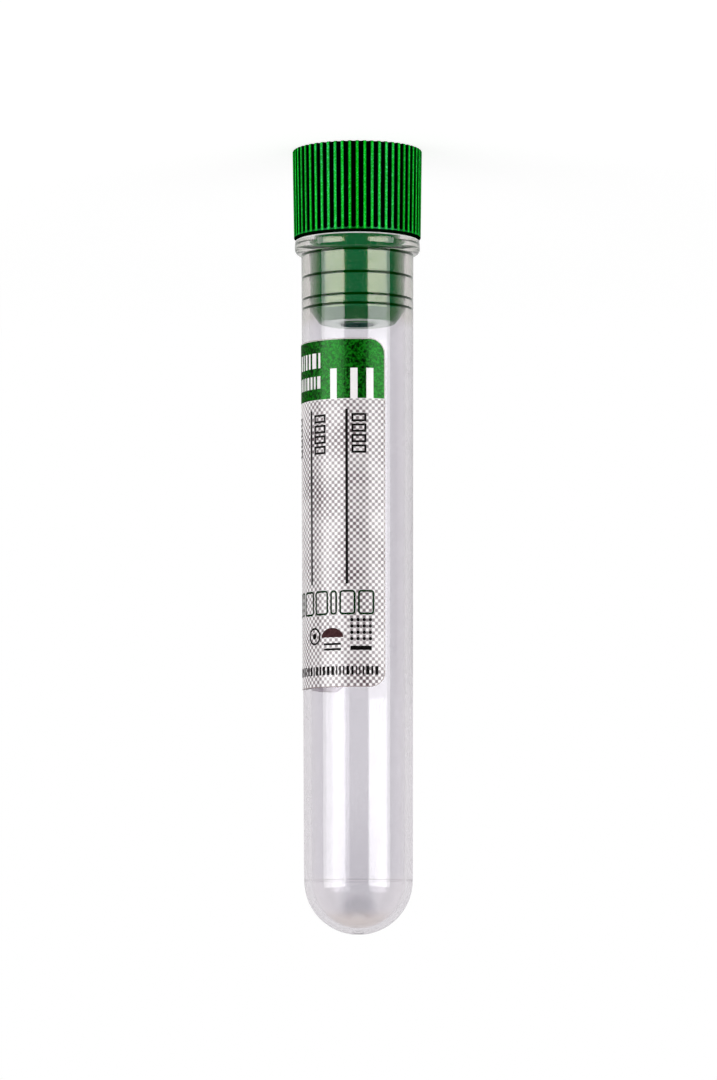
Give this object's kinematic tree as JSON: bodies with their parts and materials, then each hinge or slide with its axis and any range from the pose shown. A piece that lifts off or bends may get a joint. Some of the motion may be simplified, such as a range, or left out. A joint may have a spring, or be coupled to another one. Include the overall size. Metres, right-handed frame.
{
  "type": "blood collection tube",
  "caption": "Round-bottom translucent plastic sample tube with a ribbed green push-in stopper and a wrap label, standing on its stopper.",
  "frame": {"origin": "middle of the stopper's flat top, on which the tube stands", "axes": "+Z along the tube's axis from the stopper to the round end; -Y is the side that shows the label's edge"},
  "size_m": [0.0188, 0.0188, 0.1131],
  "materials": {
    "stopper": "satin moulded polyethylene, fine tool texture",
    "tube": "glossy translucent polypropylene",
    "label": "semi-gloss coated paper, printed green, grey and black"
  },
  "bodies": {
    "cap": {"cap": "stopper"},
    "tube": {"tube": "tube", "label": "label"}
  },
  "joints": [
    {"name": "pull_off", "type": "slide", "parent": "cap", "child": "tube", "axis": [0, 0, 1], "range_m": [0, 0.018]}
  ]
}
